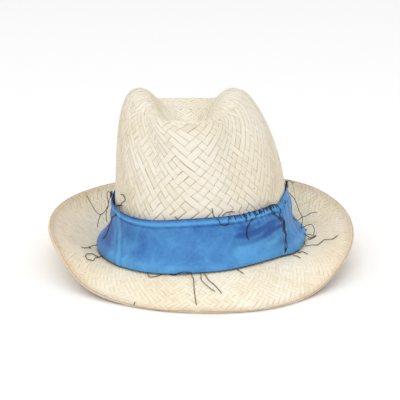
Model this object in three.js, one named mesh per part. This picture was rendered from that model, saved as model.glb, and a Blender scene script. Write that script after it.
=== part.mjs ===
// A woven straw fedora with a wide satin band, as a three.js scene graph.
// Millimetres, +Z up. The front of the hat faces -Y, and it rests on its brim at Z = 0.
// Two pieces: the straw body, which is crown and brim plaited in one, and the band round it.

import * as THREE from "three";

// ---------------------------------------------------------------- driving dimensions

const STRAW = 1.7; // thickness of the plaited straw
const HEM = 1.1; // how much more the turned-under hem adds at the brim's edge
const SATIN = 1.2; // thickness of the folded satin of the band
const AROUND = 72; // steps round the hat

// Sections of the crown, from the middle of the dent in its top down to where the brim starts.
// Each is a closed curve round the hat: left, right, front and back are how far it reaches
// from the hat's axis each way, and the up columns are its heights over the ground there.
// hold is how far round the height of the two sides is kept, square the curve's squareness
// (2 is an ellipse), sag how much lower it hangs at its quarters, and pinch how deep the two
// finger dents are, at pinchAt degrees from the front.
const SECTION_COLUMNS = ["name", "left", "right", "front", "back", "upLeft", "upRight",
  "upFront", "upBack", "hold", "square", "sagFront", "sagBack", "pinch", "pinchAt", "steps"];
const CROWN = readTable(SECTION_COLUMNS, [
  ["dent_floor",      21,    -1,    14,    40,   133,   133,   135,   133,     1,   2.0,     0,     0,     0,    45,     1],
  ["dent_wall",       36,     8,    36,    55,   149,   147,   143,   140,   1.2,   2.3,     0,     0,     1,    45,     1],
  ["ridge_inside",    50,    21,    50,    65,   168,   166,   154,   146,   1.4,   2.6,     7,     8,     3,    48,     1],
  ["ridge_top",       61,    32,    58,    72,   171,   171,   156,   148,   1.6,   2.6,     9,     8,     5,    48,     2],
  ["ridge_outside",   70,    45,    64,    79,   166,   167,   152,   145,   1.4,   2.5,     7,     7,     7,    46,     1],
  ["shoulder",      75.5,    55,    70,    85,   156,   156,   144,   138,   1.2,   2.3,     3,     3,     8,    42,     2],
  ["upper_wall",      80,    67,    79,    96,   135,   135,   122,   116,     1,   2.1,     0,     0,     8,    33,     2],
  ["middle_wall",   82.5,    78,    90,   103,   105,   105,    95,    85,     1,   2.1,     0,     0,     4,    30,     2],
  ["lower_wall",    83.5,  83.5,    97,   105,    77,    79,    71,    57,     1,   2.1,     0,     0,     0,    30,     2],
  ["foot",            87,    88,   103,   105,    24,    29,    38,    14,     1,   2.1,     0,     0,     0,    30,     2],
  ["root",            91,    93,   109,   110,    11,    18,    26,   0.8,     1,   2.1,     0,     0,     0,    30,     1],
]);

// The brim's edge, going round from the front towards +X: reach from the axis, and height.
const BRIM_EDGE = readTable(["direction", "reach", "up"], [
  [0,     155, 2.2],
  [22.5,  158, 1.6],
  [45,    154, 5],
  [67.5,  153, 23],
  [90,    152, 34],
  [112.5, 154, 41],
  [135,   158, 45],
  [157.5, 161, 44],
  [180,   162, 42],
  [202.5, 161, 41],
  [225,   158, 41],
  [247.5, 153, 41],
  [270,   149, 39],
  [292.5, 149, 32],
  [315,   152, 10],
  [337.5, 152, 1.8],
]);

// Rings of the brim: how far out from the crown each lies, and how much of the hem it takes.
const BRIM_RINGS = readTable(["out", "hem"],
  [[0.06, 0], [0.2, 0], [0.4, 0], [0.6, 0], [0.79, 0], [0.85, 1], [1, 1]]);
const BRIM_CURL = 1.6; // 1 is a straight slope, more bends the brim nearer its edge

const PINCH_SPREAD_DEG = 15; // half the width of a finger dent

// Sections of the band, from its top edge down to its lower edge on the brim.
const BAND = readTable(SECTION_COLUMNS, [
  ["top_edge",        86,    88,  99.5,   107,    65,    75,    73,    56,     1,   2.4,     4,     0,     0,    30,     1],
  ["fold_line",     86.5,    89, 100.5,   108,    58,    68,    66,    49,     1,   2.3,     4,     0,     0,    30,     2],
  ["middle",        88.5,    92,   104,   110,    42,    49,    51,    32,     1,   2.2,     2,     0,     0,    30,     2],
  ["flare",           96,   101,   113,   116,    28,    34,    37,    18,     1,   2.1,     0,     0,     0,    30,     2],
  ["lip",            101,   105,   120,   122,    20,    28,    30,    11,     1,   2.1,     0,     0,     0,    30,     1],
  ["low_edge",       102, 105.5,   122,   124,    14,    24,    28,     8,     1,   2.1,     0,     0,     0,    30,     1],
]);

function readTable(columns, rows) {
  return rows.map((row) => Object.fromEntries(row.map((value, i) => [columns[i], value])));
}

// ---------------------------------------------------------------- curves round the hat

// A point of a section. angle is 0 at the front and grows towards +X.
function sectionPoint(section, angle) {
  const power = (value) => Math.sign(value) * Math.abs(value) ** (2 / section.square);
  const sine = Math.sin(angle);
  const cosine = Math.cos(angle);
  const turn = Math.abs(THREE.MathUtils.radToDeg(Math.atan2(sine, cosine)));
  const fromPinch = (turn - section.pinchAt) / PINCH_SPREAD_DEG;
  const dent = section.pinch * Math.exp(-(fromPinch ** 2));
  const { left, right, front, back, upLeft, upRight, upFront, upBack } = section;
  const toEnds = Math.abs(cosine) ** (2 * section.hold);
  const up = THREE.MathUtils.lerp((upLeft + upRight) / 2, (upFront + upBack) / 2, toEnds)
    + ((upFront - upBack) / 2) * cosine + ((upRight - upLeft) / 2) * sine
    - (cosine > 0 ? section.sagFront : section.sagBack) * Math.sin(2 * angle) ** 2;
  return new THREE.Vector3(
    (right - left) / 2 + ((left + right) / 2) * power(sine) - dent * sine,
    (back - front) / 2 - ((front + back) / 2) * power(cosine) + dent * cosine,
    up,
  );
}

// The brim's edge as one closed curve. Its parameter runs round with the angle.
const brimEdge = new THREE.CatmullRomCurve3(BRIM_EDGE.map(({ direction, reach, up }) => {
  const angle = THREE.MathUtils.degToRad(direction);
  return new THREE.Vector3(reach * Math.sin(angle), -reach * Math.cos(angle), up);
}), true, "catmullrom", 0.5);

// The straw's outer face along one angle, from the middle of the dent out to the brim's edge.
function strawCurve(angle) {
  const floor = CROWN[0];
  const middle = new THREE.Vector3(
    (floor.right - floor.left) / 2, (floor.back - floor.front) / 2, floor.upLeft);
  const root = sectionPoint(CROWN.at(-1), angle);
  const edge = brimEdge.getPoint(angle / (2 * Math.PI));
  const brim = BRIM_RINGS.map(({ out }) => {
    const point = root.clone().lerp(edge, out);
    point.z = root.z + (edge.z - root.z) * out ** BRIM_CURL;
    return point;
  });
  const crown = CROWN.map((section) => sectionPoint(section, angle));
  return new THREE.CatmullRomCurve3([middle, ...crown, ...brim], false, "centripetal");
}

// Rings of points along curves that run down the hat, one ring to each of the given steps.
function ringsAlong(curves, steps) {
  const rings = [];
  steps.forEach((count, k) => {
    for (let step = 1; step <= count; step += 1) {
      rings.push(curves.map((curve) => curve.getPoint((k + step / count) / steps.length)));
    }
  });
  return rings;
}

// ---------------------------------------------------------------- shells

// Unit normals of a grid of rings, pointing out of the hat.
function ringNormals(rings) {
  return rings.map((ring, j) => ring.map((point, i) => {
    const down = new THREE.Vector3().subVectors(
      rings[Math.min(j + 1, rings.length - 1)][i], rings[Math.max(j - 1, 0)][i]);
    const across = new THREE.Vector3().subVectors(
      ring[(i + 1) % ring.length], ring[(i + ring.length - 1) % ring.length]);
    return down.cross(across).normalize();
  }));
}

// A closed solid over rings of points. Where two ends are given it is closed by a fan to
// each of them, and otherwise its last ring joins its first.
function ringSolid(rings, ends) {
  const n = rings[0].length;
  const positions = rings.flat().flatMap((point) => point.toArray());
  const faces = [];
  const joins = ends ? rings.length - 1 : rings.length;
  for (let j = 0; j < joins; j += 1) {
    const below = ((j + 1) % rings.length) * n;
    for (let i = 0; i < n; i += 1) {
      const next = (i + 1) % n;
      faces.push(j * n + i, below + i, j * n + next, j * n + next, below + i, below + next);
    }
  }
  if (ends) {
    const first = positions.length / 3;
    positions.push(...ends[0].toArray(), ...ends[1].toArray());
    for (let i = 0; i < n; i += 1) {
      const next = (i + 1) % n;
      faces.push(first, i, next);
      faces.push(first + 1, (rings.length - 1) * n + next, (rings.length - 1) * n + i);
    }
  }
  const geometry = new THREE.BufferGeometry();
  geometry.setAttribute("position", new THREE.Float32BufferAttribute(positions, 3));
  geometry.setIndex(faces);
  geometry.computeVertexNormals();
  return geometry;
}

// The other face of a shell: its rings moved inwards, and never below the ground.
function innerRings(rings, thickness) {
  const normals = ringNormals(rings);
  return rings.map((ring, j) => ring.map((point, i) => {
    const moved = point.clone().addScaledVector(normals[j][i], -thickness(j));
    moved.z = Math.max(moved.z, 0);
    return moved;
  })).reverse();
}

// ---------------------------------------------------------------- the two pieces

const angles = Array.from({ length: AROUND }, (_, i) => (2 * Math.PI * i) / AROUND);

function strawBody() {
  const curves = angles.map(strawCurve);
  const rings = ringsAlong(curves, [...CROWN.map(({ steps }) => steps), ...BRIM_RINGS.map(() => 1)]);
  const brimStart = rings.length - BRIM_RINGS.length;
  const inner = innerRings(rings, (j) => STRAW + HEM * (BRIM_RINGS[j - brimStart]?.hem ?? 0));
  const top = curves[0].getPoint(0);
  return ringSolid([...rings, ...inner], [top, top.clone().setZ(top.z - STRAW)]);
}

function satinBand() {
  const curves = angles.map((angle) => new THREE.CatmullRomCurve3(
    BAND.map((section) => sectionPoint(section, angle)), false, "centripetal"));
  const rings = [
    curves.map((curve) => curve.getPoint(0)),
    ...ringsAlong(curves, BAND.slice(1).map(({ steps }) => steps)),
  ];
  return ringSolid([...rings, ...innerRings(rings, () => SATIN)]);
}

const straw = new THREE.MeshStandardMaterial({ color: 0xe9dfc8, roughness: 0.7, metalness: 0 });
const satin = new THREE.MeshStandardMaterial({ color: 0x4d86c2, roughness: 0.35, metalness: 0 });

const fedora = new THREE.Group();
function addPiece(name, geometry, material) {
  const piece = new THREE.Mesh(geometry, material);
  piece.name = name;
  fedora.add(piece);
}
addPiece("straw_body", strawBody(), straw);
addPiece("satin_band", satinBand(), satin);

// The middle of the hat's outline stands over the origin.
const centre = new THREE.Box3().setFromObject(fedora, true).getCenter(new THREE.Vector3());
fedora.position.set(-centre.x, -centre.y, 0);

export default fedora;
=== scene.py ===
# %% [markdown]
# A straw fedora with a wide satin band.
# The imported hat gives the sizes: a smooth straw body and a smooth band, both in metres, with
# the front of the hat facing -Y and its brim resting on the floor at Z = 0.
# Blender adds straw plaited strip over strip, a turned hem, creased satin and the dark
# threads it was sewn with.

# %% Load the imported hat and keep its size
import math
import bmesh
import bpy
import numpy as np
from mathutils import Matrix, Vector
from mathutils.bvhtree import BVHTree


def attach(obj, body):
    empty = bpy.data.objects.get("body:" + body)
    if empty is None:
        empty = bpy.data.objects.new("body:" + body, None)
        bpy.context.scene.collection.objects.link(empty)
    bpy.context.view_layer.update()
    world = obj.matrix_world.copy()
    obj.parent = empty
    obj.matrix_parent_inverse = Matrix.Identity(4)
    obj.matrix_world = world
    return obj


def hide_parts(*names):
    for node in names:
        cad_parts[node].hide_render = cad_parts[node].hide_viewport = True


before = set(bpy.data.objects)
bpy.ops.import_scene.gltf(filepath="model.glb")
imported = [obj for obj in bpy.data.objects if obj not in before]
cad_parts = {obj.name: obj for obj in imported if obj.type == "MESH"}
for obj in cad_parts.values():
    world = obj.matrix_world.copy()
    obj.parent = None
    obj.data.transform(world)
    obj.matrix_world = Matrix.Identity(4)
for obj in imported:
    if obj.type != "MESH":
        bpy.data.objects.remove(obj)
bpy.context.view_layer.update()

# %% [markdown]
# The camera comes first, so that every later step can be looked at the same way.
# The hat is seen from the front, a little from above, through a long lens that keeps the
# brim's near edge from looking too big.

# %% Camera
def add_object(name, data):
    made = bpy.data.objects.new(name, data)
    bpy.context.scene.collection.objects.link(made)
    return made

camera_data = bpy.data.cameras.new("camera")
camera_data.lens = 135
camera_data.sensor_width = 36
camera = add_object("camera", camera_data)
camera.location = (0.0, -1.4233, 0.4891)
looks_at = Vector((-0.001, 0.0127, 0.0556))
camera.rotation_euler = (looks_at - camera.location).to_track_quat("-Z", "Y").to_euler()
bpy.context.scene.camera = camera
print("the camera stands", round((looks_at - camera.location).length, 2), "m from the hat")

# %% [markdown]
# The stage is a plain pale floor under soft studio light: a bright even surround, a large
# lamp above the camera and a larger one overhead. A sunny light would draw hard shadows, but
# in a soft one the small relief of the plaiting still shows.

# %% Floor
def shaded(material_name):
    """A new material, with its node tree and its shader."""
    material = bpy.data.materials.new(material_name)
    material.use_nodes = True
    tree = material.node_tree
    return material, tree, tree.nodes["Principled BSDF"]

bpy.ops.mesh.primitive_plane_add(size=24, location=(0, 0, 0))
floor = bpy.context.object
floor.name = "floor"
floor_paint, _, shader = shaded("pale_floor")
shader.inputs["Base Color"].default_value = (0.98, 0.98, 0.98, 1)
shader.inputs["Roughness"].default_value = 0.9
shader.inputs["Specular IOR Level"].default_value = 0.2
floor.data.materials.append(floor_paint)
print("the floor lies at Z =", floor.location.z)

# %% Lights
def add_lamp(name, place, size, power):
    lamp_data = bpy.data.lights.new(name, "AREA")
    lamp_data.shape = "DISK"
    lamp_data.size = size
    lamp_data.energy = power
    lamp = add_object(name, lamp_data)
    lamp.location = place
    aim = Vector((0, 0, 0.08)) - lamp.location
    lamp.rotation_euler = aim.to_track_quat("-Z", "Y").to_euler()

add_lamp("key_lamp", (-0.3, -1.9, 1.3), 1.2, 10.5)
add_lamp("top_lamp", (0, 0, 2.6), 2.2, 9)
world = bpy.data.worlds.new("studio")
world.use_nodes = True
surround = world.node_tree.nodes["Background"]
surround.inputs["Color"].default_value = (1, 1, 1, 1)
surround.inputs["Strength"].default_value = 0.87
bpy.context.scene.world = world
bpy.context.scene.view_settings.view_transform = "Standard"

# %% [markdown]
# Straw is plaited wet over a smooth wooden block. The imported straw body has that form, but in
# coarse flat facets. Its corners lie on rings from the middle of the dent to the brim's edge,
# so a copy is merged, its rings are read in order, and curves through them give a smooth
# block. Subdividing would smooth the facets too, but on curves every place is easy to find,
# by how far down and how far round the block it lies.

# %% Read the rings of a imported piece
RING_POINTS = 72
STRAW_RINGS = 26
SAME_PLACE = 1e-5

def merged_copy(node):
    copy = bmesh.new()
    copy.from_mesh(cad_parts[node].data)
    bmesh.ops.remove_doubles(copy, verts=copy.verts, dist=SAME_PLACE)
    return copy

def rings_from(start, count, past=()):
    """Rings of points beside one another, read from the given corners away from those past."""
    seen = set(start) | set(past)
    ring = set(start)
    rings = []
    for _ in range(count):
        ring = {edge.other_vert(v) for v in ring for edge in v.link_edges} - seen
        seen |= ring
        rings.append(in_order(ring))
    return np.array(rings)

def in_order(ring):
    """The points of a ring in order round it, from the front towards the wearer's left."""
    points = np.array([v.co for v in ring])
    across = points[:, 0] - points[:, 0].mean()
    along = points[:, 1] - points[:, 1].mean()
    turn = np.arctan2(across, -along)
    points = points[np.argsort(turn)]
    return np.roll(points, -int(np.argmin(np.abs(np.sort(turn)))), axis=0)

straw_copy = merged_copy("straw_body")
poles = [v for v in straw_copy.verts if len(v.link_edges) == RING_POINTS]
top_pole = max(poles, key=lambda v: v.co.z)
straw_rings = rings_from([top_pole], STRAW_RINGS)
straw_rings = np.concatenate([np.tile(top_pole.co, (1, RING_POINTS, 1)), straw_rings])
straw_copy.free()
print("rings read:", straw_rings.shape, "from Z =", round(straw_rings[0, 0, 2], 4))

# %% Smooth curves through the rings
def around_curves(rings, finer):
    """More points round each ring, on a smooth closed curve through the ones it has."""
    before, here, after, next_after = (np.roll(rings, shift, axis=1) for shift in (1, 0, -1, -2))
    steps = []
    for share in np.arange(finer) / finer:
        steps.append(
            here
            + share * (after - before) / 2
            + share**2 * (before - 2.5 * here + 2 * after - next_after / 2)
            + share**3 * (1.5 * (here - after) + (next_after - before) / 2)
        )
    return np.stack(steps, axis=2).reshape(len(rings), -1, 3)

def down_curves(rings, gap):
    """Rings evenly apart, on smooth curves down through the given ones, with their places."""
    lengths = np.linalg.norm(np.diff(rings, axis=0), axis=2).mean(1)
    places = np.concatenate([[0], np.cumsum(lengths)])
    slopes = np.diff(rings, axis=0) / lengths[:, None, None]
    tangents = np.concatenate([
        slopes[:1],
        (slopes[:-1] * lengths[1:, None, None] + slopes[1:] * lengths[:-1, None, None])
        / (lengths[1:] + lengths[:-1])[:, None, None],
        slopes[-1:],
    ])
    at = np.arange(0, places[-1], gap)
    k = np.clip(np.searchsorted(places, at, side="right") - 1, 0, len(lengths) - 1)
    share = ((at - places[k]) / lengths[k])[:, None, None]
    reach = lengths[k][:, None, None]
    smooth = (
        rings[k] * (1 + 2 * share) * (1 - share) ** 2
        + rings[k + 1] * share**2 * (3 - 2 * share)
        + tangents[k] * reach * share * (1 - share) ** 2
        - tangents[k + 1] * reach * share**2 * (1 - share)
    )
    return smooth, places

GAP = 0.001
FINER_ROUND = 6
block, ring_places = down_curves(around_curves(straw_rings, FINER_ROUND), GAP)

def face_directions(grid):
    """The directions that a grid of points faces, which is out of the hat."""
    down = np.gradient(grid, axis=0)
    across = np.roll(grid, -1, axis=1) - np.roll(grid, 1, axis=1)
    facing = np.cross(down, across)
    return facing / np.maximum(np.linalg.norm(facing, axis=2, keepdims=True), 1e-12)

block_facing = face_directions(block)
block_facing[0] = (0, 0, 1)
print("the block has", block.shape[0], "rings of", block.shape[1], "points")

# %% Find a place on the block
def look_up(grid, row, turn):
    """Values of a grid in between its own. turn grows from 0 at the front to 1, once round."""
    row = np.clip(row, 0, len(grid) - 1.001)
    column = (turn % 1) * grid.shape[1]
    r = row.astype(int)
    c = column.astype(int) % grid.shape[1]
    c_next = (c + 1) % grid.shape[1]
    fr = row - r
    fc = column - np.floor(column)
    if grid.ndim == 3:
        fr = fr[..., None]
        fc = fc[..., None]
    upper = grid[r, c] * (1 - fc) + grid[r, c_next] * fc
    lower = grid[r + 1, c] * (1 - fc) + grid[r + 1, c_next] * fc
    return upper * (1 - fr) + lower * fr

DENT_WALL = ring_places[2]
RIDGE_OUTSIDE = ring_places[6]
CROWN_FOOT = ring_places[17]
BRIM_EDGE = ring_places[24]
UNDER_EDGE = ring_places[26]
print("down the block to the brim's edge:", round(1000 * BRIM_EDGE), "mm")

# %% [markdown]
# The brim's edge is turned under, and where the straw lies double it stands a little higher.
# A strip of its own could be laid there, but the real hem is the same plait, so the block is
# raised under it instead.

# %% Raise the block under the hem
HEM_WIDTH = 0.0055
HEM_RISE = 0.0003
HEM_STEP = 0.001
HEM_ROUNDING = 0.0015
down_block = GAP * np.arange(len(block))
in_hem = np.clip((down_block - BRIM_EDGE + HEM_WIDTH) / HEM_STEP, 0, 1)
in_hem = in_hem * np.clip((BRIM_EDGE + 0.0005 - down_block) / HEM_ROUNDING, 0, 1)
block = block + block_facing * (HEM_RISE * in_hem)[:, None, None]
print("rings of the block in the hem:", int((in_hem > 0).sum()))

# %% [markdown]
# The straw is plaited on the slant: seen from outside, some strips run down to the right and
# others to the left, over and under one another. Bump could fake that, but the strips' edges
# and the hollows between them catch the light, so each strip is real. Both sets lie on a net:
# a strip keeps its own number in one direction and counts the strips it crosses in the other.
# Strips lie closer together at the sides than in front. Crown, ridge, dent and brim each have
# a net of their own, because the hat's girth changes so much, and each overlaps the next.

# %% The net that the strips follow
def slant_net(start, end, count, squeeze_start, squeeze_end, steep=1.0):
    """A net of count strips each way round the block, between two places down it."""
    rows = np.arange(int(start / GAP), min(int(end / GAP) + 2, len(block)))
    part = block[rows]
    ring_lengths = np.linalg.norm(np.diff(part, axis=1, append=part[:, :1]), axis=2).sum(1)
    steps_down = np.linalg.norm(np.diff(part, axis=0), axis=2).mean(1)
    rate = steps_down * count * 2 / (ring_lengths[1:] + ring_lengths[:-1]) / steep
    counts = np.concatenate([[0], np.cumsum(rate)])
    squeeze = np.interp(rows, [rows[0], rows[-1]], [squeeze_start, squeeze_end])
    return {"rows": rows, "counts": counts, "count": count, "squeeze": squeeze}

def on_net(net, right_number, left_number):
    """Block rows and turns where strips of the given numbers cross.

    The squeeze has to be undone to find the turn, and six steps of Newton's rule do that."""
    down = (left_number - right_number) / 2
    place = (left_number + right_number) / 2 / net["count"]
    row = np.interp(down, net["counts"], net["rows"])
    squeeze = np.interp(row, net["rows"], net["squeeze"])
    turn = place.copy()
    for _ in range(6):
        error = turn - squeeze * np.sin(4 * np.pi * turn) / (4 * np.pi) - place
        turn -= error / (1 - squeeze * np.cos(4 * np.pi * turn))
    return row, turn

OVERLAP = 0.004
DENT_START = 0.002
crown_net = slant_net(RIDGE_OUTSIDE - OVERLAP, CROWN_FOOT + OVERLAP, 78, 0.42, 0.38, 1.42)
brim_net = slant_net(CROWN_FOOT - OVERLAP, UNDER_EDGE, 152, 0.04, 0.0)
ridge_net = slant_net(DENT_WALL - OVERLAP, RIDGE_OUTSIDE, 62, 0.42, 0.42, 1.37)
dent_net = slant_net(DENT_START, DENT_WALL, 24, 0.0, 0.36)
print("crossings down the crown:", round(crown_net["counts"][-1] * 2))

# %% [markdown]
# Low on the front each strip goes over one and under one. Elsewhere on the crown a strip
# floats over three and under one, and the floats lean one way on each half. The brim is
# plaited over two and under two. A painted chart could say which strip is on top, but a rule
# of a line or two says the same, and a few slips keep it from looking like a machine's work.

# %% Which strip is on top
CROWN_SLIPS = 0.09
BRIM_SLIPS = 0.2
slips = np.random.default_rng(5).uniform(0, 1, (160, 320))

def slipped(row, column, share):
    """True at the few crossings where the plaiter went over instead of under."""
    return slips[row % slips.shape[0], column % slips.shape[1]] < share

def crown_pattern(right_number, left_number, count):
    """True where the strip down to the right is on top, as it mostly is on the wearer's right."""
    column = (right_number + left_number + count) % (2 * count) - count
    row = left_number - right_number
    mostly = np.where(column < 0, column % 4 != 0, column % 4 == 2)
    low_in_middle = (np.abs(column - 4) < 6 + row // 3) & (row > 9)
    return np.where(low_in_middle, column % 2 == 0, mostly) ^ slipped(row, column, CROWN_SLIPS)

def brim_pattern(right_number, left_number, count):
    """Two over and two under, in rows that follow the brim's edge, with a few slips."""
    row = left_number - right_number
    return (row % 4 < 2) ^ slipped(row, right_number + left_number, BRIM_SLIPS)

CLIMB_LENGTH = 0.8

def strip_heights(on_top, at):
    """Heights along strips, 1 on top and -1 beneath, with a smooth climb between crossings."""
    state = np.where(on_top, 1.0, -1.0)
    k = np.clip(at.astype(int), 0, state.shape[1] - 2)
    share = np.clip((at - k - 0.5) / CLIMB_LENGTH + 0.5, 0, 1)
    share = share * share * (3 - 2 * share)
    return state[:, k] * (1 - share) + state[:, k + 1] * share

print("share of crossings that slip, crown and brim:", CROWN_SLIPS, BRIM_SLIPS)

# %% [markdown]
# A strip is a thin flat ribbon, a little arched, so that a dark line shows where two lie edge
# to edge. Ribbons could be bent along curves one by one, but worked out together they meet at
# every crossing. Each gets a number for its tone and a map along and across it, for fibres.

# %% Make a mesh of ribbons
SECTION_SIDE = np.array([-1, -0.6, 0.6, 1, 0.93, -0.93])
SECTION_UP = np.array([0, 1, 1, 0, -1, -1])
chance = np.random.default_rng(11)

def add_piece(name, points, faces):
    """A piece with smooth shading, from its points and faces."""
    mesh = bpy.data.meshes.new(name)
    mesh.from_pydata(points, [], faces)
    mesh.shade_smooth()
    return add_object(name, mesh)

def add_values(piece, name, values):
    """A number at each point of a piece, which its finish can read."""
    layer = piece.data.attributes.new(name, "FLOAT", "POINT")
    layer.data.foreach_set("value", values.ravel())

def ribbon_mesh(name, points, height, hem):
    """One mesh from strips of ring-shaped sections, closed at both ends."""
    strips, length, around = points.shape[:3]
    index = np.arange(strips * length * around).reshape(strips, length, around)
    nxt = np.roll(index, -1, axis=2)
    quads = np.stack([index[:, :-1], index[:, 1:], nxt[:, 1:], nxt[:, :-1]], axis=-1).reshape(-1, 4)
    ends = np.concatenate([index[:, 0, [0, 1, 2, 3]], index[:, 0, [0, 3, 4, 5]],
                           index[:, -1, [3, 2, 1, 0]], index[:, -1, [5, 4, 3, 0]]])
    faces = np.concatenate([quads, ends])
    piece = add_piece(name, points.reshape(-1, 3).tolist(), faces.tolist())
    tone = chance.uniform(0, 1, strips)[:, None] + 0 * height
    add_values(piece, "tone", np.repeat(tone, around))
    add_values(piece, "hem", hem)
    steps_long = np.linalg.norm(np.diff(points[:, :, 0], axis=1), axis=2)
    distance = np.concatenate([np.zeros((strips, 1)), np.cumsum(steps_long, axis=1)], axis=1)
    distance += chance.uniform(0, 5, strips)[:, None]
    u = np.repeat(distance.ravel(), around)
    v = np.tile(SECTION_SIDE * 0.5 + 0.5, strips * length)
    uv_layer = piece.data.uv_layers.new(name="strip")
    corner_points = np.empty(len(piece.data.loops), np.int32)
    piece.data.loops.foreach_get("vertex_index", corner_points)
    uv = np.stack([u[corner_points], v[corner_points]], axis=1)
    uv_layer.data.foreach_set("uv", uv.astype(np.float32).ravel())
    return piece

print("a strip's section has", len(SECTION_SIDE), "points")

# %% Plait one set of strips
STRIP_DEPTH = -0.0005
STRIP_RISE = 0.00016
STRIP_ARCH = 0.00006
STRIP_THICKNESS = 0.00022
HALF_WIDTH = 0.51  # of the way from one strip to the next
STRIP_LOOSENESS = 3e-5
END_DIVE = 0.0004
HEM_FADE = 0.004

def plait(name, net, pattern, runs_right, relief, finer):
    """A piece of ribbons: every strip of the net that runs down to the right, or to the left."""
    count = net["count"]
    crossings = int(net["counts"][-1] * 2)
    numbers = np.arange(count)
    steps = np.arange(crossings + 1)
    way = 1 if runs_right else -1
    other = numbers[:, None] + way * steps[None, :]
    if runs_right:
        on_top = pattern(numbers[:, None], other, count)
    else:
        on_top = ~pattern(other, numbers[:, None], count)
    at = np.arange(crossings * finer + 1) / finer
    height = strip_heights(on_top, at)
    width = HALF_WIDTH * chance.uniform(0.94, 1.04, count)
    sideways = SECTION_SIDE[None, None, :] * width[:, None, None]
    own = numbers[:, None, None] + sideways + 0 * at[None, :, None]
    along = numbers[:, None, None] + way * at[None, :, None] + 0 * sideways
    row, turn = on_net(net, own, along) if runs_right else on_net(net, along, own)
    place = look_up(block, row, turn)
    facing = look_up(block_facing, row, turn)
    facing /= np.linalg.norm(facing, axis=3, keepdims=True)
    arch = relief * STRIP_ARCH * (SECTION_UP > 0) - STRIP_THICKNESS * (SECTION_UP < 0)
    lift = STRIP_DEPTH + relief * STRIP_RISE * height[:, :, None] + arch[None, None, :]
    dive = END_DIVE * np.clip(1 - at / CLIMB_LENGTH, 0, 1)
    loose = chance.uniform(-STRIP_LOOSENESS, STRIP_LOOSENESS, count)
    lift = lift - dive[None, :, None] + loose[:, None, None]
    points = place + facing * lift[..., None]
    points[..., 2] = np.maximum(points[..., 2], 0)
    into_hem = row * GAP - BRIM_EDGE + HEM_WIDTH
    hem = np.clip(into_hem / HEM_FADE + 0.5, 0, 1)
    return ribbon_mesh(name, points, height, hem)

print("strips lie up to", 1000 * STRIP_RISE, "mm over or under the middle of the plait")

# %% [markdown]
# In the middle of the dent the strips come together. Drawn on to one point they would be
# thinner than straw can be, so they stop short of it, over a small round patch.

# %% Patch in the middle of the dent
PATCH_UNDER = (0, 0, 0.0012)
bpy.ops.mesh.primitive_cylinder_add(
    vertices=32, radius=0.006, depth=0.0008, location=block[0, 0] - PATCH_UNDER)
dent_middle = bpy.context.object
dent_middle.name = "dent_middle"
bpy.ops.object.transform_apply(location=True)
dent_middle.data.uv_layers[0].name = "strip"
print("the patch is", round(1000 * dent_middle.dimensions.x), "mm wide")

# %% [markdown]
# Now all the sets are plaited, two to each net. The brim and the ridge are pressed flatter
# than the rest, so their relief is lower.

# %% Plait the whole hat
straw_pieces = [dent_middle]
for place, net, pattern, relief, finer in (
    ("crown", crown_net, crown_pattern, 0.85, 4),
    ("brim", brim_net, brim_pattern, 0.7, 3),
    ("ridge", ridge_net, crown_pattern, 0.7, 4),
    ("dent", dent_net, crown_pattern, 1.0, 4),
):
    for way in ("right", "left"):
        name = place + "_" + way + "_strips"
        straw_pieces.append(plait(name, net, pattern, way == "right", relief, finer))
for piece in straw_pieces:
    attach(piece, "root")
    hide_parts("straw_body")
    piece.data.calc_loop_triangles()
    print(piece.name, "has", len(piece.data.loop_triangles), "triangles")

# %% [markdown]
# Bleached straw is pale cream, yellower in some strips than in others, with fibres along each strip
# and a few brown specks. Dark dashes on the strips' edges are painted shade where one strip meets the
# next. One noise over the whole hat would run across the strips, so the tone comes from each strip's
# own number, and the fibres and dashes follow the map along it. The hem is a little browner, and
# painted shade makes the sides of the brim browner than its front.

# %% Helpers for materials
def add_node(tree, kind, settings, **joined):
    """A node with the given socket values, and with sockets joined to other nodes' outputs."""
    node = tree.nodes.new("ShaderNode" + kind)
    for name, value in settings.items():
        if name in node.inputs:
            node.inputs[name].default_value = value
        else:
            setattr(node, name, value)
    for name, output in joined.items():
        tree.links.new(output, node.inputs[name.replace("_", " ")])
    return node

def add_ramp(tree, factor, start, start_colour, end, end_colour):
    """A colour that changes from one to another as a factor goes from start to end."""
    ramp_node = tree.nodes.new("ShaderNodeValToRGB")
    first, last = ramp_node.color_ramp.elements
    first.position = start
    first.color = (*start_colour, 1)
    last.position = end
    last.color = (*end_colour, 1)
    tree.links.new(factor, ramp_node.inputs["Fac"])
    return ramp_node.outputs["Color"]

def tinted(tree, colour, share, factor, start, start_tint, end, end_tint):
    """A colour with a share of a tint, which changes as a factor goes from start to end."""
    tint = add_ramp(tree, factor, start, start_tint, end, end_tint)
    settings = {"blend_type": "MULTIPLY", "Fac": share}
    return add_node(tree, "MixRGB", settings, Color1=colour, Color2=tint).outputs["Color"]

def add_math(tree, operation, first, second):
    node = tree.nodes.new("ShaderNodeMath")
    node.operation = operation
    for socket, value in zip(node.inputs, (first, second)):
        if isinstance(value, (int, float)):
            socket.default_value = value
        else:
            tree.links.new(value, socket)
    return node.outputs["Value"]

def join_shader(tree, shader, colour, height, strength, depth, roughness):
    """Give a shader its colour, a bump of the given strength and depth, and its roughness."""
    tree.links.new(colour, shader.inputs["Base Color"])
    bump = add_node(tree, "Bump", {"Strength": strength, "Distance": depth}, Height=height)
    tree.links.new(bump.outputs["Normal"], shader.inputs["Normal"])
    shader.inputs["Roughness"].default_value = roughness

print("a finish starts with shaded and ends with join_shader")

# %% Straw
WHITE = (1, 1, 1)

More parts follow.
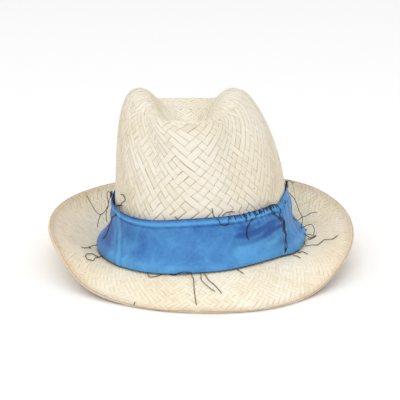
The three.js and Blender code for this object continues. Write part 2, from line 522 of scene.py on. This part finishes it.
def straw_finish(name, darker, lighter, edge_shade_share):
    """Straw in two tones, with more or less painted shade in dashes along the edges of its strips."""
    straw, tree, shader = shaded(name)
    tone = add_node(tree, "Attribute", {"attribute_name": "tone"}).outputs["Fac"]
    colour = add_ramp(tree, tone, 0, darker, 0.35, lighter)

    here = add_node(tree, "TexCoord", {}).outputs["Object"]
    patches = add_node(tree, "TexNoise", {"Scale": 16, "Detail": 3}, Vector=here)
    colour = tinted(tree, colour, 0.9, patches.outputs["Fac"], 0.38, (0.94, 0.91, 0.83), 0.6, WHITE)

    # Painted shade: the straw is tinted browner towards the sides of the brim, away from the hat's
    # middle.
    sideways = add_node(tree, "SeparateXYZ", {}, Vector=here).outputs["X"]
    side_shade_reach = add_math(tree, "ABSOLUTE", sideways, 0)
    colour = tinted(tree, colour, 1, side_shade_reach, 0.09, WHITE, 0.125, (1, 0.945, 0.885))

    strip_map = add_node(tree, "UVMap", {"uv_map": "strip"}).outputs["UV"]
    along = add_node(tree, "Mapping", {"Scale": (70, 9, 1)}, Vector=strip_map).outputs["Vector"]
    fibres = add_node(tree, "TexNoise", {"Scale": 1, "Detail": 3}, Vector=along).outputs["Fac"]
    colour = tinted(tree, colour, 0.55, fibres, 0.3, (0.84, 0.80, 0.72), 0.6, WHITE)

    # Painted shade: short dark dashes along the edges of the strips, where one strip meets or dips
    # under the next.
    dashes = add_node(tree, "Mapping", {"Scale": (55, 0.6, 1)}, Vector=strip_map).outputs["Vector"]
    dash_noise = add_node(tree, "TexNoise", {"Scale": 1, "Detail": 2}, Vector=dashes)
    across = add_node(tree, "SeparateXYZ", {}, Vector=strip_map).outputs["Y"]
    from_middle = add_math(tree, "ABSOLUTE", add_math(tree, "SUBTRACT", across, 0.5), 0)
    at_edge = add_math(tree, "GREATER_THAN", from_middle, 0.455)
    in_dash = add_math(tree, "GREATER_THAN", dash_noise.outputs["Fac"], 0.6)
    edge_shade_dash = add_math(tree, "MULTIPLY", at_edge, in_dash)
    colour = tinted(tree, colour, edge_shade_share, edge_shade_dash, 0, WHITE, 1, (0.5, 0.38, 0.26))

    cells = add_node(tree, "TexVoronoi", {"Scale": 75}, Vector=here)
    near_centre = add_math(tree, "LESS_THAN", cells.outputs["Distance"], 0.05)
    chosen = add_node(tree, "SeparateXYZ", {}, Vector=cells.outputs["Color"]).outputs["X"]
    speck = add_math(tree, "MULTIPLY", near_centre, add_math(tree, "GREATER_THAN", chosen, 0.72))
    colour = tinted(tree, colour, 0.8, speck, 0, WHITE, 1, (0.3, 0.2, 0.12))

    hem = add_node(tree, "Attribute", {"attribute_name": "hem"}).outputs["Fac"]
    colour = tinted(tree, colour, 1, hem, 0, WHITE, 1, (0.87, 0.81, 0.77))

    join_shader(tree, shader, colour, fibres, 0.35, 0.0003, 0.6)
    shader.inputs["Specular IOR Level"].default_value = 0.1
    return straw

# The third number of each is the share of painted shade in the edge dashes.
straw_tones = {
    "crown": ((0.76, 0.695, 0.57), (0.83, 0.775, 0.67), 0.7),
    "ridge": ((0.80, 0.74, 0.61), (0.86, 0.81, 0.695), 0.7),
    "dent": ((0.84, 0.795, 0.675), (0.905, 0.87, 0.775), 0.8),
    "brim": ((0.90, 0.81, 0.645), (0.955, 0.885, 0.74), 0.8),
}
straws = {place: straw_finish(place + "_straw", *tones) for place, tones in straw_tones.items()}
for piece in straw_pieces:
    piece.data.materials.append(straws[piece.name.split("_")[0]])
print("straw laid on", len(straw_pieces), "pieces")

# %% [markdown]
# The band is a length of satin with its edges turned under, sewn by hand round the foot of the
# crown and flared out over the brim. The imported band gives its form, so it need not be drawn
# again: the sharp edges of that solid show where its outer face starts.

# %% The smooth form of the band
SHARP_ANGLE = 0.9
BAND_RINGS = 8

def sharp_loops(copy):
    """The loops of sharp edges of a packed shell, the highest first."""
    links = {}
    for edge in copy.edges:
        if edge.calc_face_angle(0) > SHARP_ANGLE:
            for v in edge.verts:
                links.setdefault(v, []).append(edge.other_vert(v))
    loops = []
    while links:
        front = [next(iter(links))]
        loop = set()
        while front:
            v = front.pop()
            loop.add(v)
            front.extend(links.pop(v, []))
        loops.append(loop)
    return sorted(loops, key=lambda loop: -sum(v.co.z for v in loop))

band_copy = merged_copy("satin_band")
outer_edge, inner_edge = sharp_loops(band_copy)[:2]
band_rings = rings_from(outer_edge, BAND_RINGS, inner_edge)
band_rings = np.concatenate([[in_order(outer_edge)], band_rings])
band_copy.free()
band, _ = down_curves(around_curves(band_rings, FINER_ROUND), GAP)
band_facing = face_directions(band)
print("rings of the band:", len(band_rings), "and of its smooth form:", len(band))

# %% [markdown]
# Soft satin never lies flat. Its top edge is folded into a narrow hem, a seam joins its two
# ends near the wearer's right, and the lower edge rolls out into a lip. On the wearer's left
# the stitches are pulled tight, so the cloth is gathered there, and under the gathers it is
# pressed in and creased. A cloth simulation would lose the hems and the seam, and the band is
# sewn down all round, so all this is relief on the band's form, in mm, by how far round the
# band and how far down from its top edge a place lies.

# %% Places on the band, in mm
def bell(value, middle, half):
    """A smooth hill, 1 at its middle and nearly 0 twice its half away."""
    return np.exp(-(((value - middle) / half) ** 2))

def ramp(value, start, end):
    """A smooth step from 0 at the start to 1 at the end."""
    share = np.clip((value - start) / (end - start), 0, 1)
    return share * share * (3 - 2 * share)

mid_row = len(band) // 2
steps_round = np.linalg.norm(np.roll(band[mid_row], -1, axis=0) - band[mid_row], axis=1)
ends_mm = 1000 * np.concatenate([[0], np.cumsum(steps_round)])
length_mm = ends_mm[-1]
round_mm = ends_mm[None, :-1]
round_mm = np.where(round_mm > length_mm / 2, round_mm - length_mm, round_mm)
down_mm = 1000 * GAP * np.arange(len(band))[:, None]
width_mm = down_mm[-1, 0]
x_mm = 1000 * band[:, :, 0]
y_mm = 1000 * band[:, :, 1]
in_front = ramp(-y_mm, -10, 20)
print("the band is", round(length_mm), "mm round and", round(width_mm), "mm wide")

# %% Hems, lip and seam
TOP_HEM_MM = 6
SEAM_X_MM = -78
to_left = ramp(x_mm, 74, 84)
top_hem = 0.8 * (1 - ramp(down_mm, TOP_HEM_MM, TOP_HEM_MM + 1))
top_hem = top_hem - 0.55 * bell(down_mm, TOP_HEM_MM + 1.6, 0.9)
top_hem = (top_hem - 0.4 * (1 - ramp(down_mm, 0, 1.5))) * (1 - 0.7 * to_left)
lip = 1.2 * bell(down_mm, width_mm - 4, 4) - 0.6 * bell(down_mm, width_mm - 10, 2.6)
lip -= 0.9 * ramp(down_mm, width_mm - 1.5, width_mm)

from_seam = (x_mm - SEAM_X_MM) * 1.4
seam = 0.6 * bell(from_seam, 0, 2.6) - 0.6 * bell(np.abs(from_seam), 4, 0.9)
seam = (seam + 0.15 * np.sin(2.4 * down_mm) * bell(from_seam, 2, 1.4)) * in_front
print("the hem at the top is", TOP_HEM_MM, "mm wide, and the seam lies at X =", SEAM_X_MM, "mm")

# %% Gathers, creases and folds
gathered = ramp(x_mm, 16, 30) * (1 - ramp(x_mm, 78, 86)) * in_front
puckers = np.sin(0.95 * (round_mm - 0.5 * down_mm) + 1.2 * np.sin(round_mm / 9))
gathers = gathered * 1.3 * puckers * np.exp(-down_mm / 7)
pressed = ramp(x_mm, 26, 40) * (1 - ramp(x_mm, 74, 84)) * in_front
press = pressed * (1.6 * bell(down_mm, 10, 5) - 2.4 * bell(down_mm, 27, 7))
creases = np.sin(0.75 * down_mm + 0.06 * round_mm + 1.3 * np.sin(round_mm / 11))
press = press + pressed * 0.6 * creases * bell(down_mm, 20, 10)

rumple = 0 * x_mm
for _ in range(14):
    wave = chance.uniform(16, 60)
    slant = chance.uniform(0, math.pi)
    phase = chance.uniform(0, 2 * math.pi)
    along = round_mm * math.cos(slant) + down_mm * math.sin(slant)
    rumple = rumple + 0.006 * wave * np.sin(2 * math.pi * along / wave + phase)
rumple = rumple * ramp(down_mm, 5, 16) * (1 - ramp(down_mm, width_mm - 14, width_mm - 6))

side = ramp(x_mm, 72, 84) * bell(y_mm, -26, 26) * bell(down_mm, 20, 20)
folds = 0.6 * np.sin(0.47 * round_mm + 0.05 * down_mm) + 0.25 * np.sin(1.05 * round_mm + 1)

relief = (top_hem + lip + seam + gathers + press + rumple + 0.3 * side * folds) / 1000
print("the relief is up to", round(1000 * float(relief.max() - relief.min()), 1), "mm deep")

# %% [markdown]
# Light alone shows little of the band's relief, so every place also gets a number of painted light
# and shade: it makes the hem, the lip, the seam and the puckers paler, and the creases, the top edge
# and the end towards the wearer's right a deeper blue.

# %% Painted light and shade on the satin
# Painted light and shade, not fading: a pale hem with a dark crease under it and dark along the top
# edge, a pale lip, a pale seam with dark sides, light and dark bands over the pressed creases,
# painted highlights on the puckers, painted highlights and shade along the folds on the wearer's
# left, and darker patches towards the wearer's right.
fading = 1.6 * bell(down_mm, 4.6, 1.7) - 0.9 * bell(down_mm, 7.8, 1) - 0.9 * bell(down_mm, 0, 2)
fading = fading * (1 - 0.8 * to_left) + 0.7 * ramp(down_mm, width_mm - 14, width_mm - 5)
fading = fading + (0.7 * bell(from_seam, 0, 2.4) - 0.5 * bell(np.abs(from_seam), 4.4, 1.4)) * in_front
fading = fading + 1.2 * pressed * (bell(down_mm, 36, 8) - 1.3 * bell(down_mm, 20, 8))
fading = fading + 0.7 * pressed * creases * bell(down_mm, 22, 9)
fading = fading + 1.1 * gathered * puckers * np.exp(-down_mm / 6)
fading = fading - 0.7 * bell(x_mm, -62, 11) * in_front * bell(down_mm, 18, 16)
fading = fading + side * (0.15 + 1.1 * folds) - 0.9 * ramp(-x_mm, 80, 92) * in_front
print("fading goes from", round(float(fading.min()), 1), "to", round(float(fading.max()), 1))

# %% [markdown]
# Towards the wearer's right the top edge stands off the crown and leaves a dark gap. Over the
# gathers it climbs a little higher, and on the wearer's left it is drawn in to the crown.
# Below the gathers the band is pulled tight, so its lower edge flares out less there.

# %% How far the band stands off, and how high it climbs
outwards = band_facing * (1, 1, 0)
outwards /= np.linalg.norm(outwards, axis=2, keepdims=True)
stand_off = 0.8 * bell(round_mm, -138, 26) * (1 - ramp(down_mm, 0, 30))
climb = 4 * bell(x_mm, 60, 20) * in_front * (1 - ramp(down_mm, 0, 40))
climb = climb - 1.5 * bell(y_mm, 12, 26) * ramp(x_mm, 40, 70) * (1 - ramp(down_mm, 0, 36))
on_left = ramp(x_mm, 70, 84) * bell(y_mm, 0, 40)
stand_off = stand_off + on_left * (1.6 * bell(down_mm, 9, 8) - 2.6 * bell(down_mm, 31, 8))
on_right = ramp(-x_mm, 66, 82) * bell(y_mm, 0, 46)
stand_off = stand_off - 1.8 * on_right * bell(down_mm, 26, 8)
near_top = in_front * (1 - ramp(down_mm, 0, 30))
climb = climb + (1.2 * bell(x_mm, -68, 20) + 1.4 * bell(x_mm, 36, 34)) * near_top
climb = climb - 4 * bell(x_mm, 78, 5) * near_top
climb = climb + 0.5 * gathered * puckers * np.exp(-down_mm / 4)
pulled_in = 4.5 * ramp(x_mm, -60, 10) + 6.5 * bell(x_mm, 70, 38) * ramp(-y_mm, 0, 60)
pulled_in = pulled_in * (1 - 0.6 * ramp(x_mm, 84, 97))
stand_off = stand_off - pulled_in * ramp(-y_mm, -20, 30) * ramp(down_mm, 16, width_mm - 3)
print("the top edge climbs up to", round(float(climb.max()), 1), "mm")

# %% [markdown]
# Where the real band is sewn down it touches the straw, so its outer face is drawn down to
# the block along the lower edge and on the wearer's left, and what would be too close to the
# straw is moved out. A shrinkwrap modifier would draw in the lip and the folds as well. The
# inner face follows the outer one, a cloth's thickness inside.

# %% Helpers for a shell
def grid_tree(grid):
    """What finds the nearest place on a grid of points that closes on itself sideways."""
    rows, columns = grid.shape[:2]
    index = np.arange(rows * columns).reshape(rows, columns)
    beside = np.roll(index, -1, axis=1)
    faces = np.stack([index[:-1], index[1:], beside[1:], beside[:-1]], axis=2)
    return BVHTree.FromPolygons(grid.reshape(-1, 3).tolist(), faces.reshape(-1, 4).tolist())

def shell_mesh(name, outer, inner):
    """A closed mesh from two grids, joined along their first and last rows."""
    rows, columns = outer.shape[:2]
    grid = np.concatenate([outer, inner[::-1]])
    index = np.arange(2 * rows * columns).reshape(2 * rows, columns)
    below = np.roll(index, -1, axis=0)
    faces = np.stack([index, below, np.roll(below, -1, axis=1), np.roll(index, -1, axis=1)], 2)
    return add_piece(name, grid.reshape(-1, 3).tolist(), faces.reshape(-1, 4).tolist())

print("helpers: grid_tree and shell_mesh")

# %% Lay the band on the straw
LEFT_CLEAR = 0.0018
STRAW_CLEAR = 0.0011
SATIN_THICKNESS = 0.0008
band_outer = band + band_facing * relief[..., None]
band_outer = band_outer + outwards * stand_off[..., None] / 1000
band_outer[..., 2] += climb / 1000
straw_tree = grid_tree(block[:, ::3])
drawn_in = 1 - ramp(down_mm[:, 0], 0, 26)
for column in range(band_outer.shape[1]):
    found, facing, _, _ = straw_tree.find_nearest(Vector(band_outer[0, column]))
    reach = np.array(found + facing * LEFT_CLEAR) - band_outer[0, column]
    band_outer[:, column] += drawn_in[:, None] * reach * float(ramp(x_mm[0, column], 56, 78))
    found, facing, _, _ = straw_tree.find_nearest(Vector(band_outer[-1, column]))
    reach = np.array(found + facing * STRAW_CLEAR) - band_outer[-1, column]
    tuck = ramp(down_mm[:, 0], width_mm - 5, width_mm)
    band_outer[:, column] += tuck[:, None] * reach
moved_out = 0
for point in band_outer.reshape(-1, 3):
    found, facing, _, _ = straw_tree.find_nearest(Vector(point))
    clear = (Vector(point) - found).dot(facing)
    if clear < STRAW_CLEAR:
        point += np.array(facing * (STRAW_CLEAR - clear))
        moved_out += 1
print("points of the band moved out to clear the straw:", moved_out)

# %% Make the band
band_inner = band_outer - face_directions(band_outer) * SATIN_THICKNESS
satin_piece = shell_mesh("satin_band_cloth", band_outer, band_inner)
# The outer face carries the painted light and shade; the inner face gets none.
add_values(satin_piece, "fading", np.concatenate([fading, 0 * fading]))
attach(satin_piece, "root")
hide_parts("satin_band")
print("the band has", len(satin_piece.data.polygons), "faces")

# %% [markdown]
# Satin has long threads on its face, so it shines softly along its creases. An image texture would
# have to be wrapped round the band, so noise in the hat's own space makes the blotches, threads and
# fine crumple instead, and the number of painted light and shade turns the blue from deep to pale.

# %% Satin
satin, tree, shader = shaded("satin")
here = add_node(tree, "TexCoord", {}).outputs["Object"]
blotches = add_node(
    tree, "TexNoise", {"Scale": 42, "Detail": 6, "Roughness": 0.7, "Distortion": 0.5}, Vector=here)
# The painted light and shade of the band's relief, added to the blotches, sets how pale the blue is.
painted_light_node = add_node(tree, "Attribute", {"attribute_name": "fading"})
lighter = add_math(tree, "MULTIPLY", painted_light_node.outputs["Fac"], 0.23)
lighter = add_math(tree, "ADD", lighter, blotches.outputs["Fac"])
blue = add_ramp(tree, lighter, 0.22, (0.02, 0.105, 0.36), 0.78, (0.098, 0.355, 0.68))
threads = add_node(tree, "TexNoise", {"Scale": 420, "Detail": 2}, Vector=here)
blue = tinted(tree, blue, 0.6, threads.outputs["Fac"], 0.35, (0.86, 0.88, 0.92), 0.6, WHITE)
crumple = add_node(tree, "TexNoise", {"Scale": 150, "Detail": 4}, Vector=here)
join_shader(tree, shader, blue, crumple.outputs["Fac"], 0.5, 0.001, 0.5)
shader.inputs["Specular IOR Level"].default_value = 0.25
shader.inputs["Sheen Weight"].default_value = 0.02
satin_piece.data.materials.append(satin)
print("the satin's roughness is", round(shader.inputs["Roughness"].default_value, 2))

# %% [markdown]
# The band was sewn on by hand with dark thread, and its ends were left long. Each loose end
# is given by a few places that it passes, in mm. A smooth curve runs through them, and where
# it comes close to straw or satin it is laid on it, so that only stiff loops stand clear. A
# curve with a round bevel would do, but a mesh also gets a map for the twist of its plies.

# %% Where the loose threads run
LOOSE_THREADS = [
    # from the band's tip on the wearer's right, out over the brim
    [(-86, -2, 64), (-88, 1, 65), (-93, 15, 49), (-98, 24, 39), (-103, 32, 35), (-108, 38, 37),
     (-113, 42, 45), (-117, 45, 51)],
    [(-99, 22, 39), (-101, 24, 37), (-104, 26, 30), (-105, 28, 24), (-105, 30, 21)],
    [(-94, 10, 46), (-95, 12, 42), (-95, 14, 32)],
    [(-90, 6, 64), (-92, 8, 66), (-93, 6, 65), (-93, 3, 61), (-92, 0, 56), (-93, -3, 50)],
    # from the same tip, down the band and onto the crown
    [(-70, -40, 80), (-72, -43, 81), (-74, -45, 79)],
    [(-81, -44, 68), (-79, -50, 69), (-76, -55, 70)],
    [(-82, -52, 61), (-88, -27, 47), (-92, -20, 39), (-93, -27, 33), (-97, -24, 27)],
    [(-78, -43, 65), (-75, -51, 72), (-72, -57, 77), (-73, -53, 80), (-77, -46, 79)],
    # a short wriggle and a loop on the brim, on the wearer's right
    [(-102, -26, 21), (-108, -22, 19), (-111, -19, 17), (-109, -24, 17), (-112, -26, 18),
     (-115, -32, 19), (-118, -32, 21)],
    [(-96, -48, 16), (-102, -61, 19), (-104, -69, 19), (-109, -68, 20), (-111, -62, 21),
     (-110, -51, 20), (-106, -46, 18), (-102, -51, 18), (-98, -56, 18)],
    # in front, hanging from the band's lower edge
    [(-50, -108, 22), (-48, -116, 20), (-38, -117, 22), (-34, -115, 23), (-25, -120, 23),
     (-20, -121, 26), (-9, -125, 27)],
    [(-9, -124, 27), (-7, -127, 22), (-6, -139, 16), (-5, -147, 11), (-4, -154, 6)],
    [(0, -121, 26), (0, -128, 22), (4, -134, 19), (13, -142, 15)],
    [(3, -121, 26), (7, -129, 21), (13, -135, 18), (19, -143, 13)],
    [(-60, -142, 4), (-61, -145, 3)],
    [(33, -107, 27), (33, -111, 26), (36, -115, 25), (40, -119, 24)],
    # in front, at the band's top edge
    [(10, -98, 81), (12, -100, 74), (16, -104, 72), (19, -103, 67), (22, -103, 66),
     (25, -102, 67), (25, -103, 72)],
    [(20, -99, 74), (23, -97, 76), (32, -93, 76)],
    [(-24, -98, 73), (-21, -100, 70)],
    # from the gathers, down over the band
    [(57, -87, 75), (51, -91, 72), (46, -94, 68), (43, -97, 64), (42, -97, 60), (43, -96, 55),
     (45, -96, 49)],
    [(42, -97, 75), (42, -96, 68)],
    [(67, -77, 74), (70, -73, 68), (75, -65, 61), (79, -58, 52), (81, -62, 45), (80, -72, 39),
     (79, -84, 34)],
    [(77, -59, 69), (76, -64, 64), (79, -57, 57), (81, -55, 51), (82, -59, 45), (81, -70, 41),
     (82, -73, 36), (79, -84, 33)],
    [(80, -53, 75), (82, -44, 69)],
    # from the band's tip on the wearer's left, out over the brim
    [(86, 3, 77), (87, 3, 79), (89, 2, 77), (91, 1, 77), (93, 0, 78)],
    [(88, 22, 63), (90, 20, 59), (93, 18, 56), (96, 14, 51), (98, 9, 46), (101, 4, 41),
     (101, 0, 37), (100, -8, 33)],
    [(92, -11, 45), (94, -6, 42), (98, -1, 40), (101, 4, 41), (106, 10, 40), (111, 16, 41),
     (117, 22, 40)],
    [(100, -14, 35), (105, 0, 33), (111, 6, 32), (113, 4, 28), (112, 0, 24), (106, -6, 26)],
    [(102, -22, 32), (109, -2, 22), (115, 2, 21), (113, -2, 20), (108, -6, 20), (107, -1, 19)],
    [(101, -40, 30), (105, -30, 22), (109, -29, 21), (113, -31, 22), (118, -25, 23),
     (122, -18, 23), (130, -21, 25), (135, -15, 27)],
    [(92, -65, 29), (98, -52, 22), (103, -59, 23)],
    [(88, -66, 26), (92, -66, 23), (95, -71, 22)],
]
print("loose threads:", len(LOOSE_THREADS))

# %% Lay the threads on the hat
THREAD_SWAY = 0.00012
THREAD_CLEAR = 0.0001
LAID_BELOW = 0.0015
FREE_ABOVE = 0.004
under_threads = [straw_tree, grid_tree(band_outer[:, ::2])]

def laid_path(places_mm, radius, gap=GAP):
    """A thread's points, on a swaying curve through places in mm, laid on straw and satin."""
    corners = np.array(places_mm, float)[:, None, :] / 1000
    path = down_curves(corners, gap)[0][:, 0]
    slopes = np.cumsum(chance.uniform(-1, 1, (len(path), 3)), axis=0)
    path += THREAD_SWAY * (slopes - np.linspace(slopes[0], slopes[-1], len(path)))
    for point in path:
        found = min((tree.find_nearest(Vector(point)) for tree in under_threads),
                    key=lambda hit: hit[3])
        target = np.array(found[0] + found[1] * (radius + THREAD_CLEAR))
        hold = 1 - float(ramp(found[3], LAID_BELOW, FREE_ABOVE))
        point += (target - point) * hold
    return path

THREAD_RADIUS = 0.00035
DOUBLE_RADIUS = 0.00045
from_gathers = [x > 40 and y < -50 and z > 66 for (x, y, z), *_ in LOOSE_THREADS]
loose_radii = np.where(from_gathers, DOUBLE_RADIUS, THREAD_RADIUS)
loose_paths = [laid_path(places, radius) for places, radius in zip(LOOSE_THREADS, loose_radii)]
lengths = [np.linalg.norm(np.diff(path, axis=0), axis=1).sum() for path in loose_paths]
print("the longest loose thread measures", round(1000 * float(max(lengths))), "mm")

# %% Tubes along threads
NO_THREADS_WAY = (0.31, 0.42, 0.85)  # a direction in which no thread starts

def tube_mesh(name, paths, radii, sides=6):
    """One mesh of round threads, closed at their ends, with a map along and round them."""
    points = []
    faces = []
    uvs = []
    for path, radius in zip(paths, np.resize(radii, len(paths))):
        path = np.array(path)
        tangents = np.gradient(path, axis=0)
        tangents /= np.linalg.norm(tangents, axis=1, keepdims=True)
        side = np.cross(tangents[0], NO_THREADS_WAY)
        start = len(points)
        lengths = np.concatenate([[0], np.cumsum(np.linalg.norm(np.diff(path, axis=0), axis=1))])
        for place, tangent, length in zip(path, tangents, lengths):
            side = side - tangent * np.dot(side, tangent)
            side = side / np.linalg.norm(side)
            other = np.cross(tangent, side)
            for k in range(sides):
                angle = 2 * math.pi * k / sides
                points.append(place + radius * (side * math.cos(angle) + other * math.sin(angle)))
                uvs.append((length, k / sides))
        for ring in range(len(path) - 1):
            for k in range(sides):
                a = start + ring * sides + k
                b = start + ring * sides + (k + 1) % sides
                faces.append((a, b, b + sides, a + sides))
        faces.append(tuple(range(start + sides - 1, start - 1, -1)))
        faces.append(tuple(range(len(points) - sides, len(points))))
    piece = add_piece(name, [tuple(point) for point in points], faces)
    uv_layer = piece.data.uv_layers.new(name="thread")
    for loop in piece.data.loops:
        uv_layer.data[loop.index].uv = uvs[loop.vertex_index]
    return piece

loose_threads = tube_mesh("loose_threads", loose_paths, loose_radii)
print("the loose threads have", len(loose_threads.data.polygons), "faces")

# %% [markdown]
# The gathers are held by whipstitches: the thread comes up inside the band, goes over its top
# edge and down again a few mm further on, and pulls the edge in. A thinner thread runs along
# the rest of the top edge and along the lower edge. All could be drawn by hand, but places on
# the band are known in mm, so a loop can sew them.

# %% Places to sew at
band_out_facing = face_directions(band_outer)
ahead = np.argsort(round_mm[0])
ahead = ahead[np.abs(round_mm[0, ahead]) < 110]

def round_at(x):
    """How far round the band, in mm, the places are that lie x mm to the wearer's left."""
    return np.interp(x, x_mm[mid_row, ahead], round_mm[0, ahead])

def on_band(round_places, down, lift):
    """Points over the band's outer face, by mm round it, mm down it and mm off it."""
    turn = np.interp(np.asarray(round_places) % length_mm, ends_mm, np.arange(len(ends_mm)))
    turn = turn / (len(ends_mm) - 1)
    row = np.asarray(down, float) / (1000 * GAP)
    facing = look_up(band_out_facing, row, turn)
    return look_up(band_outer, row, turn) + facing * np.asarray(lift)[..., None] / 1000

print("the gathers start", round(float(round_at(24))), "mm round the band")

# %% Whipstitches
WHIP_RADIUS = 0.0004
whip_paths = []
at = round_at(24)
while at < round_at(80):
    gap = 5.5 if at < round_at(44) else 3.6
    reach = chance.uniform(3.2, 5)
    share = np.linspace(0, 1, 14)
    over = on_band(at + 2.6 * share, reach * share, 0.3 + 0.5 * (1 - share) ** 2)
    behind = on_band(np.full(3, at + 0.4), np.array([2.4, 1.2, 0.2]), np.array([-1.5, -1.4, -0.9]))
    whip_paths.append(np.concatenate([behind, over]))
    at += gap * chance.uniform(0.85, 1.15)
whipstitches = tube_mesh("whipstitches", whip_paths, WHIP_RADIUS)
print("stitches over the gathers:", len(whip_paths))

# %% Thin thread along the edges
EDGE_RADIUS = 0.00014

def edge_path(start, end, down, lift, wave):
    """A thread that sways along the band, between two places round it, all in mm."""
    along = np.arange(start, end, 1.0)
    sway = np.cumsum(chance.uniform(-1, 1, len(along)))
    sway = sway - np.convolve(sway, np.ones(25) / 25, mode="same")
    sway = np.clip(sway, -2, 2) * wave
    return on_band(along, down + np.maximum(sway, 0), lift + 0.3 * np.abs(sway))

edge_paths = [
    edge_path(-100, round_at(30), 0.4, 0.25, 0.25),
    edge_path(round_at(26), round_at(80), 0.5, 0.5, 0.5),
    edge_path(-160, 150, width_mm - 0.3, 0.2, 0.0),
]
edge_stitches = tube_mesh("edge_stitches", edge_paths, EDGE_RADIUS)
print("threads along the edges:", len(edge_paths))

# %% [markdown]
# At the band's tip on the wearer's left the thread was wound round and round before it was
# cut, which leaves a small black knot, and three other threads have smaller ones. A bead
# would do from afar, but a thread wound round a short line shows its turns.

# %% Knots
KNOT_RADIUS = 0.0003

def wound(start, end, turns, width):
    """A thread wound round the line from start to end, all in mm."""
    start = Vector(start) / 1000
    end = Vector(end) / 1000
    axis = (end - start).normalized()
    side = axis.orthogonal().normalized()
    other = axis.cross(side)
    path = []
    for k in range(turns * 10 + 1):
        angle = 2 * math.pi * k / 10
        centre = start.lerp(end, k / (turns * 10))
        path.append(centre + width / 1000 * (side * math.cos(angle) + other * math.sin(angle)))
    return np.array(path)

knot_paths = [
    wound((84.6, 2, 79), (85.2, -1, 72), 10, 1.1),
    wound((-89, 8, 66), (-89.4, 3, 62), 8, 0.9),
    wound((81, -78, 36), (79.5, -84, 33), 5, 0.5),
    wound((103, -17, 34), (104, -15, 33), 4, 0.4),
]
knots = tube_mesh("thread_knots", knot_paths, KNOT_RADIUS)
print("knots:", len(knot_paths))

# %% [markdown]
# The brim's edge is turned under and pressed flat, and a line of fine straw-coloured thread
# close to the edge holds the fold. It lies on the strips, along one ring of the block with a
# little sway. A painted line would not show where the edge turns away.

# %% Thread along the hem
HEM_THREAD_INSIDE = 0.0014
HEM_THREAD_DEPTH = 0.00012
HEM_THREAD_RADIUS = 0.0002
hem_row = (BRIM_EDGE - HEM_THREAD_INSIDE) / GAP
turns = np.arange(0, 0.998, 0.002)
hem_rows = np.full(len(turns), hem_row) + chance.uniform(-0.12, 0.12, len(turns))
depth = look_up(block_facing, hem_rows, turns) * HEM_THREAD_DEPTH
hem_path = look_up(block, hem_rows, turns) - depth
hem_line = tube_mesh("hem_line", [hem_path], HEM_THREAD_RADIUS, 4)
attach(hem_line, "root")
print("thread along the hem has", len(hem_path), "points")

# %% Straw-coloured thread
hem_thread, tree, shader = shaded("straw_thread")
hem_map = add_node(tree, "UVMap", {"uv_map": "thread"}).outputs["UV"]
lengthwise = add_node(tree, "Mapping", {"Scale": (600, 2, 1)}, Vector=hem_map)
uneven = add_node(tree, "TexNoise", {"Scale": 1, "Detail": 2}, Vector=lengthwise.outputs["Vector"])
tan = add_ramp(tree, uneven.outputs["Fac"], 0.3, (0.36, 0.27, 0.19), 0.7, (0.58, 0.48, 0.37))
tree.links.new(tan, shader.inputs["Base Color"])
shader.inputs["Roughness"].default_value = 0.8
hem_line.data.materials.append(hem_thread)
print("finish of the thread along the hem:", hem_thread.name)

# %% The dark threads together
thread_pieces = [loose_threads, whipstitches, edge_stitches, knots]
for piece in thread_pieces:
    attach(piece, "root")
print("pieces of dark thread:", len(thread_pieces))

# %% [markdown]
# Sewing thread is two plies twisted together, dull and nearly black. Two real plies would be
# too fine to see, so slanting waves on the map along the thread tint it and raise a bump.

# %% Thread
thread, tree, shader = shaded("thread")
thread_map = add_node(tree, "UVMap", {"uv_map": "thread"}).outputs["UV"]
twisted = add_node(
    tree, "Mapping", {"Rotation": (0, 0, 0.6), "Scale": (900, 1.2, 1)}, Vector=thread_map)
plies = add_node(
    tree, "TexWave", {"Scale": 1, "Distortion": 1.5}, Vector=twisted.outputs["Vector"])
brown = add_ramp(
    tree, plies.outputs["Fac"], 0.1, (0.012, 0.009, 0.013), 0.9, (0.045, 0.03, 0.026))
join_shader(tree, shader, brown, plies.outputs["Fac"], 0.5, 0.0001, 0.8)
for piece in thread_pieces:
    piece.data.materials.append(thread)
print("thread laid on", len(thread_pieces), "pieces")
